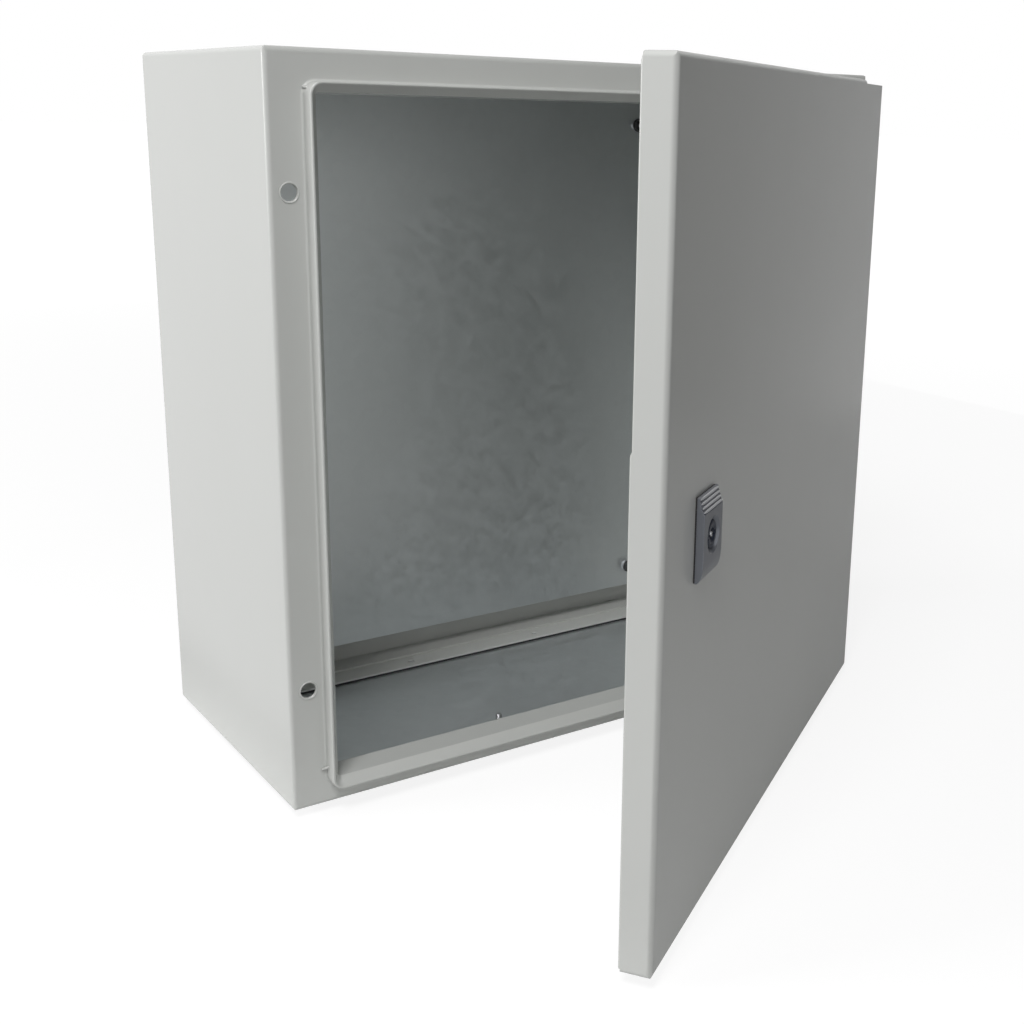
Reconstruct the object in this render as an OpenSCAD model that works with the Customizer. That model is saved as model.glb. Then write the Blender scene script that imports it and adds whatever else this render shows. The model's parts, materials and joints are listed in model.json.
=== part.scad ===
// Steel wall enclosure with one hinged door.
// Origin: centre of the four wall-fixing holes, on the plane of the wall.
// +X is to the right, +Y is into the wall, +Z is up. Millimetres.

/* [Body] */
// Outside width of the body
body_w = 500; // [400:10:700]
// Outside height of the body
body_h = 500; // [400:10:800]
// Depth of the body, from the wall to the front flange
body_d = 229; // [150:1:300]
// Thickness of the body sheet
sheet = 1.5; // [1.2:0.1:2]
// Outside radius of the body's bends
bend_r = 3; // [2.2:0.1:5]

/* [Front frame] */
// Width of the flange down each side of the opening
side_flange = 24; // [22:0.5:34]
// Width of the flange over the opening
top_flange = 19.5; // [16:0.5:34]
// Width of the flange under the opening
bottom_flange = 13.5; // [12.5:0.5:30]
// Height of the rain lip in front of the flange
lip_h = 12; // [9:0.5:13]
// Radius of the crest of the rain lip
crest_r = 1; // [0.6:0.1:1.4]
// How far the folded leaf of the lip reaches into the opening
leaf_in = 7.5; // [7:0.5:10]
// How far the folded leaf reaches behind the face of the flange
leaf_back = 15; // [4:0.5:18]
// Outside radius of the lip's corners
lip_corner_r = 8.5; // [8:0.5:20]

/* [Back panel and wall fixing] */
// Depth of the welded flange round the back panel
back_flange = 23; // [12:1:30]
// Distance of a wall hole from the outside of the body
wall_hole_inset = 35; // [30:1:60]
// Diameter of a wall hole
wall_hole_d = 8.5; // [6:0.5:11]

/* [Mounting plate] */
// Width of the mounting plate
plate_w = 450; // [375:5:480]
// Height of the mounting plate
plate_h = 450; // [435:5:480]
// Thickness of the mounting plate
plate_t = 2; // [1.5:0.5:3]
// Distance between the wall plane and the back of the mounting plate
plate_standoff = 20; // [12:1:60]
// Distance between the plate's fixing studs, across
stud_pitch_x = 350; // [200:5:360]
// Distance between the plate's fixing studs, up
stud_pitch_z = 412; // [200:2:420]
// Diameter of the fixing studs
stud_d = 6; // [5:1:8]

/* [Gland opening] */
// Width of the gland opening in the floor
gland_w = 390; // [200:10:390]
// Depth of the gland opening
gland_d = 140; // [80:5:150]
// Distance between the wall plane and the gland opening
gland_from_wall = 43; // [38:1:45]
// How far the gland plate reaches past the opening
gland_margin = 18; // [14:1:19]
// Thickness of the gland plate
gland_plate_t = 2; // [1.5:0.5:3]
// Thickness of the gland plate's gasket
gland_gasket_t = 2; // [1:0.5:3]
// Distance between neighbouring gland plate screws
gland_screw_pitch = 125; // [60:5:125]

/* [Door] */
// Gap between the edge of the door and the side of the body
door_side_gap = 1; // [0.5:0.5:3]
// Gap between the top of the door and the top of the body
door_top_gap = 5; // [1:0.5:6]
// Gap between the bottom of the door and the bottom of the body
door_bottom_gap = 2; // [1:0.5:4]
// Distance of the door's face in front of the flange, closed
door_proj = 21; // [20.5:0.1:22]
// Depth of the folded edge round the door
door_edge = 19; // [16:0.5:19]
// Thickness of the door sheet
door_sheet = 1.5; // [1.2:0.1:2]
// Outside radius of the door's bends
door_bend_r = 3; // [2.5:0.1:4]
// Width of the inward fold on the free, top and bottom edges
door_fold = 7; // [4:0.5:8]
// Outside radius of that fold
door_fold_r = 1.2; // [0.6:0.1:1.4]
// Length of the relief in the door's top edge, beside the hinges
relief_l = 62; // [30:1:80]
// How far the lower part of the free edge stands back past its upper part
edge_step = 1; // [0:0.1:1.2]
// Height of that step above the middle of the door
edge_step_z = 52; // [-100:1:150]
// Angle at which the door stands open
open_angle = 33.5; // [0:0.5:115]

/* [Hinges] */
// Distance between the hinge centre and the end of the body
hinge_inset = 86; // [70:1:120]
// Distance between the pin and the outside of the door's hinge edge
pin_inset = 6; // [5.8:0.1:6.5]
// Distance between the pin and the face of the flange
pin_out = 14; // [13.5:0.1:14.5]
// Diameter of the hinge pin
pin_d = 5; // [4:0.5:5]
// Diameter of the hinge hole in the flange
hinge_hole_d = 10.5; // [9:0.5:12]
// Distance of the hinge hole from the side of the body
hinge_hole_inset = 13.5; // [12.5:0.5:14.5]
// Height of the bracket's knuckle
knuckle_h = 24; // [16:1:30]
// Height of each knuckle of the door's leaf
leaf_knuckle_h = 12; // [8:1:16]
// Length of the door's leaf
leaf_l = 80; // [76:1:100]
// Distance of a leaf's stud from its end
leaf_stud_edge = 8; // [6:1:10]

/* [Lock] */
// Distance of the lock from the door's free edge
lock_inset = 67.5; // [60:0.5:120]
// Height of the lock below the middle of the door
lock_drop = 6; // [-40:1:60]
// Width of the lock housing
lock_w = 33; // [30:1:40]
// How far the housing's middle stands from the lock, towards the free edge
lock_shift = 1; // [0:0.25:3]
// Length of the lock housing
lock_l = 49; // [46:1:60]
// Height of the lock housing off the door
lock_t = 5.5; // [5:0.5:8]
// Diameter of the dish round the key insert
dish_d = 22; // [20:0.5:24]
// Diameter of the lock barrel
barrel_d = 20; // [19:0.5:22]
// Diameter of the turning insert
insert_d = 15; // [13:0.5:16]
// How far the end of the cam reaches past the edge of the lip's leaf
cam_lap = 7.5; // [5:0.5:12]

/* [Earthing studs] */
// Distance of the body's earth stud from the left side
earth_from_side = 175; // [60:5:440]
// Distance between the face of the flange and the body's earth stud
earth_from_front = 25; // [20:0.5:30]
// Distance of the door's earth stud from the hinge side
door_earth_inset = 60; // [40:5:200]
// Distance of the door's earth stud from the bottom of the door
door_earth_up = 44; // [35:1:200]
// Diameter of the earth studs
earth_stud_d = 5; // [4:1:6]
// Height of the body's earth stud
earth_stud_l = 18.5; // [14:0.5:30]
// Height of the door's earth stud
door_stud_l = 14.5; // [12:0.5:17]

/* [Hidden] */
$fn = 64;

// Clearances
run_gap = 0.05;      // round a turning pin, on the radius
fit_gap = 0.2;       // round a bolt or stud, on the radius
seat_gap = 0.3;      // between a soft or curved piece and its seat
eps = 1;             // how far a cut runs past the face it cuts

// Front frame
front_y = -body_d;
open_l = -body_w / 2 + side_flange;
open_r = body_w / 2 - side_flange;
open_b = -body_h / 2 + bottom_flange;
open_t = body_h / 2 - top_flange;
knee_in = leaf_in * 0.9;
knee_out = lip_h * 0.35;
leaf_slope = (lip_h - knee_out) / (knee_in - crest_r);
leaf_face = 90 - atan(leaf_slope);
fold_fillet = 1.5;
turn_r = max(lip_corner_r, leaf_in + 0.5);
arc_steps = 6;

// Door, in its closed place
door_w = body_w - 2 * door_side_gap;
door_top = body_h / 2 - door_top_gap;
door_bottom = -body_h / 2 + door_bottom_gap;
door_h = door_top - door_bottom;
door_mid = (door_top + door_bottom) / 2;
door_face_y = front_y - door_proj;
door_back_y = door_face_y + door_edge;
pin_x = body_w / 2 - door_side_gap - pin_inset;
pin_y = front_y - pin_out;
hinge_z = body_h / 2 - hinge_inset;

// Hinges
knuckle_r = pin_inset - door_sheet - fit_gap;
bracket_t = 3;
bracket_screw_d = 6;
leaf_t = 2.5;
leaf_w = 11;
leaf_over = 2.5;
leaf_stud_d = 4;
leaf_stud_l = 8;
leaf_stud_pitch = leaf_l - 2 * leaf_stud_edge;

// Studs and nuts
collar_d = 12;
plate_hole_d = stud_d + 1;
washer_d = 2 * stud_d;
washer_t = 1.6;
nut_h = 5;
nut_gap = 0.1;
earth_x = -body_w / 2 + earth_from_side;
gland_screw_d = 5;
gland_screw_edge = gland_margin / 2;
gland_front_y = -gland_from_wall - gland_d;
floor_z = -body_h / 2;

// Gasket of the door
gasket_w = 10;
gasket_t = door_proj - door_sheet - lip_h - seat_gap;

// Lock
lock_x = -door_w / 2 + lock_inset;
lock_z = door_mid - lock_drop;
lock_seal_t = 1;
lock_nut_w = 27;
lock_nut_h = 6;
barrel_end = door_edge + 1;
dish_floor = lock_t - 3;
insert_face = dish_floor - 0.5;
rib_count = 4;
rib_zone = 9.5;
rib_end = 2.2;
tail_l = 11;
tail_foot = 1.4;
cam_w = 16;
cam_t = 3;
cam_square = 8;
cam_crank = 22;      // from the middle of the insert to the cam's step inward
cam_reach = lock_x - open_l - leaf_in + cam_lap;
cam_hub = barrel_end + 2;
cam_gap = 1;
cam_tongue = door_proj + leaf_back + cam_gap;
cam_washer_d = 14;

// ---------- shared shapes ----------

// Points of an arc about [cx, cy], from one angle to another
function arc(cx, cy, r, a0, a1, steps = arc_steps) =
    [for (i = [0:steps]) let (a = a0 + (a1 - a0) * i / steps) [cx + r * cos(a), cy + r * sin(a)]];

// Rectangle with round corners, from one corner to the other
module round_rect(x0, y0, x1, y1, r) {
    translate([x0 + r, y0]) square([x1 - x0 - 2 * r, y1 - y0]);
    translate([x0, y0 + r]) square([x1 - x0, y1 - y0 - 2 * r]);
    for (x = [x0 + r, x1 - r], y = [y0 + r, y1 - r]) translate([x, y]) circle(r);
}

// Turns a flat outline in X and Z into a slab that runs from y0 to y1
module slab(y0, y1) {
    translate([0, y1, 0]) rotate([90, 0, 0]) linear_extrude(y1 - y0) children();
}

// Box with rounded edges round its front and along its depth, as bent sheet has.
// Its back is square and lies at y1.
module soft_box(w, h, y0, y1, r) {
    intersection() {
        slab(y0, y1) round_rect(-w / 2, -h / 2, w / 2, h / 2, r);
        // seen from the side: rounded at the front, long enough at the back to stay square there
        translate([-w / 2 - eps, 0, 0]) rotate([90, 0, 90])
            linear_extrude(w + 2 * eps) round_rect(y0, -h / 2, y1 + 2 * r, h / 2, r);
        // seen from above
        translate([0, 0, -h / 2 - eps])
            linear_extrude(h + 2 * eps) round_rect(-w / 2, y0, w / 2, y1 + 2 * r, r);
    }
}

// Cylinder along Y, from y0 to y1
module rod_y(x, z, d, y0, y1) {
    translate([x, y1, z]) rotate([90, 0, 0]) cylinder(d = d, h = y1 - y0);
}

// Hexagon nut along Y, from y0 to y1, with a round hole
module nut_y(x, z, across, hole, y0, y1) {
    difference() {
        translate([x, y1, z]) rotate([90, 0, 0]) cylinder(d = across / cos(30), h = y1 - y0, $fn = 6);
        rod_y(x, z, hole, y0 - eps, y1 + eps);
    }
}

// Flat ring along Y
module ring_y(x, z, outer, hole, y0, y1) {
    difference() {
        rod_y(x, z, outer, y0, y1);
        rod_y(x, z, hole, y0 - eps, y1 + eps);
    }
}

// Puts a piece of the closed door in its open place
module on_door() {
    translate([pin_x, pin_y, 0]) rotate([0, 0, open_angle]) translate([-pin_x, -pin_y, 0]) children();
}

// ---------- body ----------

// Section of the folded rain lip: u runs into the opening, v runs forward from the flange.
// A wall stands forward, folds over at a narrow crest and comes back as a slanting leaf,
// which bends at a knee and then runs straight back into the body.
function lip_section() = concat(
    [[-fold_fillet, -sheet]],
    arc(-fold_fillet, fold_fillet, fold_fillet, -90, 0),
    arc(crest_r, lip_h - crest_r, crest_r, 180, leaf_face),
    [
        [knee_in, knee_out],
        [leaf_in, -leaf_back],
        [leaf_in - sheet, -leaf_back],
        [knee_in - sheet, knee_out],
        [sheet, knee_out + (knee_in - 2 * sheet) * leaf_slope],
        [sheet, -sheet]
    ]
);

// One straight run of the lip along +X, starting at the origin; the opening is towards +Z
module lip_run(length) {
    rotate([90, 0, 90]) linear_extrude(length) polygon([for (p = lip_section()) [-p[1], p[0]]]);
}

// One corner of the lip: the section turned a quarter about the corner's centre
module lip_corner() {
    rotate([90, 0, 0]) rotate_extrude(angle = 90)
        polygon([for (p = lip_section()) [turn_r - p[0], p[1]]]);
}

// The whole lip, round the opening
module rain_lip() {
    r = turn_r;
    translate([0, front_y, 0]) {
        translate([open_l + r, 0, open_b]) lip_run(open_r - open_l - 2 * r);
        translate([open_r - r, 0, open_t]) rotate([0, 180, 0]) lip_run(open_r - open_l - 2 * r);
        translate([open_l, 0, open_t - r]) rotate([0, 90, 0]) lip_run(open_t - open_b - 2 * r);
        translate([open_r, 0, open_b + r]) rotate([0, -90, 0]) lip_run(open_t - open_b - 2 * r);
        translate([open_r - r, 0, open_t - r]) lip_corner();
        translate([open_l + r, 0, open_t - r]) rotate([0, -90, 0]) lip_corner();
        translate([open_l + r, 0, open_b + r]) rotate([0, 180, 0]) lip_corner();
        translate([open_r - r, 0, open_b + r]) rotate([0, 90, 0]) lip_corner();
    }
}

// Places of the gland plate's screws
module at_gland_screws() {
    for (i = [-1.5:1:1.5], y = [-gland_from_wall + gland_screw_edge, gland_front_y - gland_screw_edge])
        translate([i * gland_screw_pitch, y, 0]) children();
}

module body_wrapper() {
    color([0.84, 0.85, 0.83]) {
        difference() {
            soft_box(body_w, body_h, front_y, 0, bend_r);
            soft_box(body_w - 2 * sheet, body_h - 2 * sheet, front_y + sheet, eps, bend_r - sheet);
            slab(front_y - eps, front_y + sheet + eps)
                round_rect(open_l, open_b, open_r, open_t, turn_r);
            // hinge holes down both sides, so that the door can hang on either
            for (x = [-1, 1] * (body_w / 2 - hinge_hole_inset), z = [-hinge_z, hinge_z]) {
                rod_y(x, z, hinge_hole_d, front_y - eps, front_y + sheet + eps);
                translate([x, front_y + 0.7, z]) rotate([90, 0, 0])
                    cylinder(h = 0.8, d1 = hinge_hole_d - 0.1, d2 = hinge_hole_d + 1.5);
            }
            // gland opening and its screw holes in the floor
            translate([-gland_w / 2, gland_front_y, floor_z - eps]) cube([gland_w, gland_d, sheet + 2 * eps]);
            at_gland_screws() translate([0, 0, floor_z - eps])
                cylinder(d = gland_screw_d + 2 * fit_gap, h = sheet + 2 * eps);
        }
        rain_lip();
    }
}

module back_panel() {
    w = body_w - 2 * sheet;
    h = body_h - 2 * sheet;
    r = 2.5;
    color([0.8, 0.81, 0.79]) difference() {
        slab(-back_flange, 0) round_rect(-w / 2, -h / 2, w / 2, h / 2, r);
        slab(-back_flange - eps, -sheet)
            round_rect(-w / 2 + sheet, -h / 2 + sheet, w / 2 - sheet, h / 2 - sheet, r - 1);
        for (x = [-1, 1] * (body_w / 2 - wall_hole_inset), z = [-1, 1] * (body_h / 2 - wall_hole_inset))
            rod_y(x, z, wall_hole_d, -sheet - eps, eps);
    }
}

// ---------- mounting plate ----------

plate_back_y = -plate_standoff;
plate_front_y = plate_back_y - plate_t;
nut_back_y = plate_front_y - washer_t;

module at_plate_studs() {
    for (x = [-1, 1] * stud_pitch_x / 2, z = [-1, 1] * stud_pitch_z / 2) translate([x, 0, z]) children();
}

module mounting_plate() {
    color([0.5, 0.53, 0.54]) difference() {
        slab(plate_front_y, plate_back_y) round_rect(-plate_w / 2, -plate_h / 2, plate_w / 2, plate_h / 2, 4);
        at_plate_studs() rod_y(0, 0, plate_hole_d, plate_front_y - eps, plate_back_y + eps);
    }
}

module plate_studs() {
    color("silver") at_plate_studs() {
        rod_y(0, 0, collar_d, plate_back_y, -sheet);
        rod_y(0, 0, stud_d, nut_back_y - nut_h - 2, plate_back_y + eps);
    }
}

module plate_washers() {
    color("silver") at_plate_studs() ring_y(0, 0, washer_d, stud_d + 2 * fit_gap, nut_back_y, plate_front_y);
}

module plate_nuts() {
    color([0.12, 0.12, 0.13]) at_plate_studs()
        nut_y(0, 0, 10, stud_d + 2 * nut_gap, nut_back_y - nut_h, nut_back_y);
}

// ---------- gland plate ----------

gland_plate_w = gland_w + 2 * gland_margin;
gland_plate_d = gland_d + 2 * gland_margin;
gland_mid_y = gland_front_y + gland_d / 2;
gland_plate_z = floor_z - gland_gasket_t - gland_plate_t;

module gland_plate() {
    color([0.6, 0.62, 0.62]) difference() {
        translate([0, gland_mid_y, gland_plate_z]) linear_extrude(gland_plate_t)
            round_rect(-gland_plate_w / 2, -gland_plate_d / 2, gland_plate_w / 2, gland_plate_d / 2, 4);
        at_gland_screws() translate([0, 0, gland_plate_z - eps])
            cylinder(d = gland_screw_d + 2 * fit_gap, h = gland_plate_t + 2 * eps);
    }
}

module gland_gasket() {
    edge = 1;
    color([0.1, 0.1, 0.1]) difference() {
        translate([0, gland_mid_y, floor_z - gland_gasket_t]) linear_extrude(gland_gasket_t)
            round_rect(-gland_plate_w / 2 + edge, -gland_plate_d / 2 + edge,
                gland_plate_w / 2 - edge, gland_plate_d / 2 - edge, 3);
        translate([0, gland_mid_y, floor_z - gland_gasket_t - eps]) linear_extrude(gland_gasket_t + 2 * eps)
            round_rect(-gland_w / 2 - edge, -gland_d / 2 - edge, gland_w / 2 + edge, gland_d / 2 + edge, 2);
        at_gland_screws() translate([0, 0, floor_z - gland_gasket_t - eps])
            cylinder(d = gland_screw_d + 2 * fit_gap, h = gland_gasket_t + 2 * eps);
    }
}

module gland_screws() {
    head_h = 3;
    color("silver") at_gland_screws() {
        translate([0, 0, gland_plate_z - head_h]) difference() {
            cylinder(d = 1.8 * gland_screw_d, h = head_h);
            translate([0, 0, -eps]) cylinder(d = 4.4, h = 1.5 + eps, $fn = 6);
        }
        translate([0, 0, gland_plate_z - eps])
            cylinder(d = gland_screw_d, h = floor_z + 0.2 - gland_plate_z + eps);
    }
}

// ---------- earthing studs ----------

// Upright stud on a round weld foot
module earth_stud(length) {
    cylinder(d = earth_stud_d + 3, h = 1);
    cylinder(d = earth_stud_d, h = length);
}

// Washer and nut over the foot of an earth stud
module earth_nut() {
    hole = earth_stud_d + 2 * nut_gap;
    difference() {
        translate([0, 0, 1]) union() {
            cylinder(d = 2 * earth_stud_d, h = 1);
            translate([0, 0, 1]) cylinder(d = 8 / cos(30), h = 4, $fn = 6);
        }
        cylinder(d = hole, h = 7);
    }
}

module at_body_earth() {
    translate([earth_x, front_y + earth_from_front, floor_z + sheet]) children();
}

module at_door_earth() {
    on_door() translate([door_w / 2 - door_earth_inset, door_face_y + door_sheet, door_bottom + door_earth_up])
        rotate([-90, 0, 0]) children();
}

module body_earth_stud() {
    color("silver") at_body_earth() earth_stud(earth_stud_l);
}

module body_earth_nut() {
    color("silver") at_body_earth() earth_nut();
}

module door_earth_stud() {
    color("silver") at_door_earth() earth_stud(door_stud_l);
}

module door_earth_nut() {
    color("silver") at_door_earth() earth_nut();
}

// ---------- door ----------

// Outside of the door: bent edges at the front, and folded edges at the back everywhere
// but on the hinge side, which is left as it was cut
module door_outside() {
    far = 2 * door_fold_r;
    translate([0, 0, door_mid]) intersection() {
        soft_box(door_w, door_h, door_face_y, door_back_y, door_bend_r);
        translate([0, 0, -door_h / 2 - eps]) linear_extrude(door_h + 2 * eps)
            round_rect(-door_w / 2, door_face_y - far, door_w / 2 + far, door_back_y, door_fold_r);
        translate([-door_w / 2 - eps, 0, 0]) rotate([90, 0, 90]) linear_extrude(door_w + 2 * eps)
            round_rect(door_face_y - far, -door_h / 2, door_back_y, door_h / 2, door_fold_r);
    }
}

// The lower part of the free edge is folded a little further back, and runs out in a short slope
module free_edge_step() {
    edge_x = -door_w / 2;
    back_y = door_back_y + edge_step;
    lap = 2 * door_sheet;
    slope = 2.5;
    z0 = door_bottom + door_bend_r;
    z1 = door_mid + edge_step_z;
    intersection() {
        translate([0, 0, z0]) linear_extrude(z1 - z0) polygon(concat(
            [[edge_x, back_y - edge_step - lap]],
            arc(edge_x + door_fold_r, back_y - door_fold_r, door_fold_r, 180, 90),
            [
                [edge_x + door_fold, back_y],
                [edge_x + door_fold, back_y - door_sheet],
                [edge_x + door_sheet, back_y - door_sheet],
                [edge_x + door_sheet, back_y - edge_step - lap]
            ]
        ));
        translate([edge_x - eps, 0, 0]) rotate([90, 0, 90]) linear_extrude(door_fold + 2 * eps) polygon([
            [door_face_y, z0 - eps], [back_y + eps, z0 - eps], [back_y + eps, z1 - slope],
            [back_y, z1 - slope], [door_back_y, z1], [door_face_y, z1]
        ]);
    }
}

module door_panel() {
    hinge_edge = door_w / 2 - door_sheet;
    relief_x = door_w / 2 - relief_l;
    relief_z = door_top - door_bend_r;
    slot_z = knuckle_h / 2 + 2;
    crop_y = 2;
    crop_z = 5;
    color([0.82, 0.83, 0.81]) on_door() {
        difference() {
            door_outside();
            // hollow between the face and the inward fold
            translate([0, 0, door_mid]) soft_box(door_w - 2 * door_sheet, door_h - 2 * door_sheet,
                door_face_y + door_sheet, door_back_y - door_sheet, door_bend_r - door_sheet);
            // the hollow's opening: the hinge edge has no fold, so that it can swing
            slab(door_back_y - 2 * door_sheet, door_back_y + eps)
                round_rect(-door_w / 2 + door_fold, door_bottom + door_fold, hinge_edge,
                    door_top - door_fold, 2);
            // relief along the top edge beside the hinges
            translate([relief_x, door_face_y - eps, relief_z])
                cube([relief_l + eps, door_edge + 2 * eps, door_bend_r + eps]);
            // cropped corner of the free edge, top and inside
            translate([-door_w / 2 - eps, door_back_y, door_top]) rotate([90, 0, 90])
                linear_extrude(door_fold / 2 + eps)
                    polygon([[-crop_y, eps], [-crop_y, 0], [0, -crop_z], [eps, -crop_z], [eps, eps]]);
            // slots in the hinge edge, where the body's brackets reach in
            for (z = [-hinge_z, hinge_z])
                translate([door_w / 2 - 2 * door_sheet, door_face_y + door_sheet + 0.6, z - slot_z])
                    cube([3 * door_sheet, door_edge, 2 * slot_z]);
            // cut-out for the lock
            rod_y(lock_x, lock_z, barrel_d + 2 * fit_gap, door_face_y - eps, door_face_y + door_sheet + eps);
        }
        // lowered edge that closes the relief
        translate([relief_x - door_sheet, door_face_y + door_sheet / 2, relief_z - door_sheet])
            cube([relief_l + door_sheet / 2, door_edge - door_sheet / 2, door_sheet]);
        free_edge_step();
        // welded studs that hold the hinge leaves
        for (z = [-hinge_z, hinge_z], s = [-1, 1] * leaf_stud_pitch / 2)
            rod_y(pin_x - leaf_w / 2, z + s, leaf_stud_d, door_face_y + 1, door_face_y + door_sheet + leaf_stud_l);
    }
}

// Foamed gasket on the inside of the door, opposite the crest of the rain lip
module door_gasket() {
    mid = crest_r;
    y0 = door_face_y + door_sheet;
    r = turn_r - mid;
    half = gasket_w / 2;
    color([0.16, 0.16, 0.17]) on_door() difference() {
        slab(y0, y0 + gasket_t) round_rect(open_l + mid - half, open_b + mid - half,
            open_r - mid + half, open_t - mid + half, r + half);
        slab(y0 - eps, y0 + gasket_t + eps) round_rect(open_l + mid + half, open_b + mid + half,
            open_r - mid - half, open_t - mid - half, r - half);
    }
}

// ---------- hinges ----------

// Upright cylinder about the hinge pin, centred on height z
module about_pin(d, z0, z1) {
    translate([pin_x, pin_y, z0]) cylinder(d = d, h = z1 - z0);
}

// Bracket on the body: a foot on the flange, a spigot in the hinge hole and an arm out to the pin
module hinge_bracket(z) {
    foot_x0 = body_w / 2 - side_flange + 3;
    foot_x1 = pin_x + 1;
    arm_w = knuckle_r + 1;
    hole_x = body_w / 2 - hinge_hole_inset;
    color("dimgray") difference() {
        union() {
            translate([foot_x0, front_y - bracket_t, z - knuckle_h / 2])
                cube([foot_x1 - foot_x0, bracket_t, knuckle_h]);
            translate([pin_x + 1 - arm_w, pin_y, z - knuckle_h / 2])
                cube([arm_w, pin_out, knuckle_h]);
            about_pin(2 * knuckle_r, z - knuckle_h / 2, z + knuckle_h / 2);
            rod_y(hole_x, z, hinge_hole_d - 2 * fit_gap, front_y - bracket_t, front_y + sheet);
        }
        about_pin(pin_d + 2 * run_gap, z - knuckle_h, z + knuckle_h);
        rod_y(hole_x, z, bracket_screw_d + 2 * nut_gap, front_y - bracket_t - eps, front_y + sheet + eps);
    }
}

module upper_hinge_bracket() hinge_bracket(hinge_z);
module lower_hinge_bracket() hinge_bracket(-hinge_z);

// Screws from inside the body, through the flange into the brackets
module hinge_bracket_screws() {
    head_h = 4;
    x = body_w / 2 - hinge_hole_inset;
    y = front_y + sheet;
    color("silver") for (z = [-hinge_z, hinge_z]) difference() {
        union() {
            rod_y(x, z, bracket_screw_d, front_y - bracket_t, y + eps);
            rod_y(x, z, 2.5 * bracket_screw_d, y, y + 1.5);
            rod_y(x, z, 10, y + 1.5, y + 1.5 + head_h);
        }
        translate([x, y + 2.5 + head_h, z]) rotate([90, 0, 0]) cylinder(d = 4.6, h = 3.5, $fn = 6);
    }
}

// Leaf on the door: a plate on the door's face with two knuckles for the pin
module hinge_leaf(z) {
    y0 = door_face_y + door_sheet;
    k0 = knuckle_h / 2 + seat_gap;
    k1 = k0 + leaf_knuckle_h;
    color("dimgray") on_door() difference() {
        union() {
            translate([pin_x - leaf_w, y0, z - leaf_l / 2]) cube([leaf_w + leaf_over, leaf_t, leaf_l]);
            for (s = [-1, 1]) {
                about_pin(2 * knuckle_r, z + min(s * k0, s * k1), z + max(s * k0, s * k1));
                translate([pin_x - knuckle_r, y0, z + min(s * k0, s * k1)])
                    cube([knuckle_r + leaf_over, pin_y - y0, leaf_knuckle_h]);
            }
        }
        about_pin(pin_d + 2 * run_gap, z - leaf_l, z + leaf_l);
        // the bracket's knuckle turns in front of the leaf
        about_pin(2 * knuckle_r + 2 * seat_gap, z - k0, z + k0);
        for (s = [-1, 1] * leaf_stud_pitch / 2)
            rod_y(pin_x - leaf_w / 2, z + s, leaf_stud_d + 2 * fit_gap, y0 - eps, y0 + leaf_t + eps);
    }
}

module upper_hinge_leaf() hinge_leaf(hinge_z);
module lower_hinge_leaf() hinge_leaf(-hinge_z);

module hinge_pin(z) {
    head_h = 1.5;
    top = z + knuckle_h / 2 + seat_gap + leaf_knuckle_h;
    color("silver") on_door() {
        about_pin(pin_d, 2 * z - top - 1, top + head_h);
        about_pin(pin_d + 0.8, top, top + head_h);
    }
}

module upper_hinge_pin() hinge_pin(hinge_z);
module lower_hinge_pin() hinge_pin(-hinge_z);

module hinge_leaf_nuts() {
    y0 = door_face_y + door_sheet + leaf_t;
    color("silver") on_door() for (z = [-hinge_z, hinge_z], s = [-1, 1] * leaf_stud_pitch / 2)
        nut_y(pin_x - leaf_w / 2, z + s, 7, leaf_stud_d + 2 * nut_gap, y0, y0 + 3.2);
}

// ---------- lock ----------

// Depths below are measured from the door's face: + is out of the door, - is into it
module at_lock() {
    on_door() translate([lock_x, door_face_y, lock_z]) rotate([90, 0, 0]) children();
}

// Side outline of the housing: stepped ribs at the top, a flat face, a rounded tail at the bottom
function housing_side() = concat(
    [[-lock_l / 2, lock_seal_t]],
    [for (i = [0:8]) let (a = 90 * i / 8)
        [-lock_l / 2 + tail_l * (1 - cos(a)), tail_foot + (lock_t - tail_foot) * sin(a)]],
    [[lock_l / 2 - rib_zone, lock_t]],
    [for (i = [0:rib_count - 1]) each let (
            z = lock_l / 2 - rib_zone + (i + 0.2) * rib_zone / rib_count,
            h = lock_t - (i + 1) * (lock_t - rib_end) / (rib_count + 1)
        ) [[z, h - 0.7], [z + 0.4, h], [z + 1.4, h - 0.4]]],
    [[lock_l / 2, rib_end - 0.5], [lock_l / 2, lock_seal_t]]
);

module lock_housing() {
    color([0.45, 0.47, 0.5]) at_lock() difference() {
        union() {
            translate([-lock_w / 2 - lock_shift, 0, 0]) rotate([90, 0, 90])
                linear_extrude(lock_w) polygon(housing_side());
            translate([0, 0, -barrel_end]) cylinder(d = barrel_d, h = barrel_end + 2);
        }
        // dish
        translate([0, 0, dish_floor]) cylinder(d1 = insert_d + 2, d2 = dish_d, h = lock_t - dish_floor + 0.01);
        translate([0, 0, lock_t]) cylinder(d = dish_d, h = eps);
        // seat of the turning insert
        translate([0, 0, -barrel_end + 3]) cylinder(d = insert_d + 2 * run_gap, h = barrel_end + lock_t);
        translate([0, 0, -barrel_end - eps]) cylinder(d = 10 + 2 * run_gap, h = 4 + 2 * eps);
    }
}

module lock_seal() {
    color([0.1, 0.1, 0.1]) at_lock() difference() {
        translate([-lock_shift, 0, lock_seal_t / 2])
            cube([lock_w - 2 * seat_gap, lock_l - 2 * seat_gap, lock_seal_t], center = true);
        translate([0, 0, -eps]) cylinder(d = barrel_d + 2 * fit_gap, h = lock_seal_t + 2 * eps);
    }
}

module lock_nut() {
    color("silver") at_lock() translate([0, 0, -door_sheet - lock_nut_h]) difference() {
        cylinder(d = lock_nut_w / cos(30), h = lock_nut_h, $fn = 6);
        translate([0, 0, -eps]) cylinder(d = barrel_d + 2 * nut_gap, h = lock_nut_h + 2 * eps);
    }
}

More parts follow.
